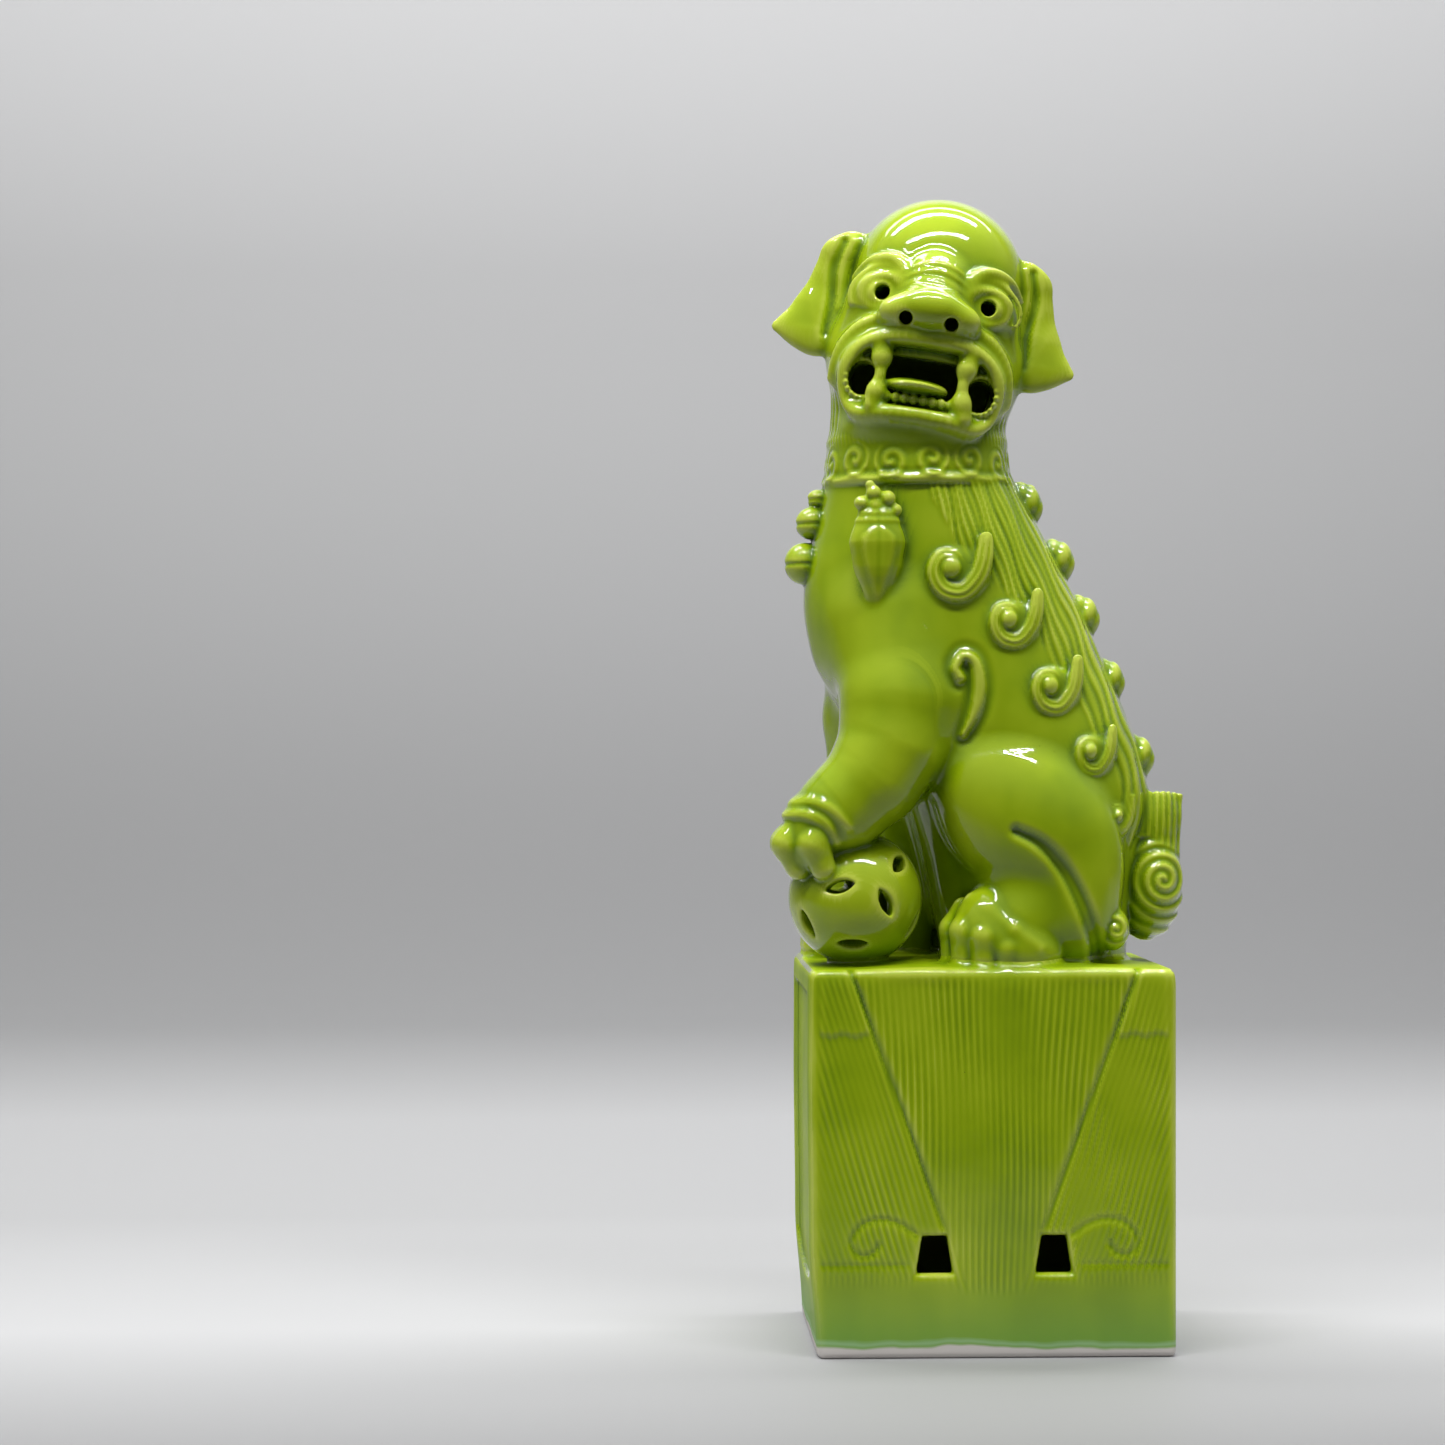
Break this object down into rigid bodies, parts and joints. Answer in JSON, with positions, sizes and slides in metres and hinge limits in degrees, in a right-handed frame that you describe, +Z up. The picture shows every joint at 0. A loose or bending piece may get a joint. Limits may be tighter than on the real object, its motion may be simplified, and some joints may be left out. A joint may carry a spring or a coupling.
{
  "type": "guardian lion statue",
  "caption": "Glazed guardian lion seated on a tall hollow plinth, its head turned to the side, its mouth open and a forepaw on a pierced ball.",
  "frame": {"origin": "middle of the underside of the bounding box, on the surface that the plinth stands on", "axes": "+Z up; -X is where the lion's chest and the ball point; -Y is the side its face is turned to, its own left flank; +Y is its right flank"},
  "size_m": [0.111, 0.07, 0.3049],
  "materials": {
    "green_glaze": "gloss apple green glaze over white clay, darker where it pools"
  },
  "bodies": {
    "root": {"chest_bead_top": "green_glaze", "chest_bell_large": "green_glaze", "chest_bell_small": "green_glaze", "head_shell": "green_glaze", "left_ear": "green_glaze", "left_fangs": "green_glaze", "left_foreleg": "green_glaze", "left_haunch": "green_glaze", "left_hind_paw": "green_glaze", "left_mane_curl_1": "green_glaze", "left_mane_curl_2": "green_glaze", "left_mane_curl_3": "green_glaze", "left_mane_curl_4": "green_glaze", "left_mane_curl_5": "green_glaze", "left_rump_knob": "green_glaze", "left_tassel": "green_glaze", "neck_collar": "green_glaze", "pierced_ball": "green_glaze", "plinth_shell": "green_glaze", "right_ear": "green_glaze", "right_fangs": "green_glaze", "right_foreleg": "green_glaze", "right_haunch": "green_glaze", "right_hind_paw": "green_glaze", "right_mane_curl_1": "green_glaze", "right_mane_curl_2": "green_glaze", "right_mane_curl_3": "green_glaze", "right_mane_curl_4": "green_glaze", "right_mane_curl_5": "green_glaze", "right_rump_knob": "green_glaze", "right_tassel": "green_glaze", "spine_knob_1": "green_glaze", "spine_knob_2": "green_glaze", "spine_knob_3": "green_glaze", "spine_knob_4": "green_glaze", "spine_knob_5": "green_glaze", "tail": "green_glaze", "tongue": "green_glaze", "torso_shell": "green_glaze"}
  },
  "joints": []
}
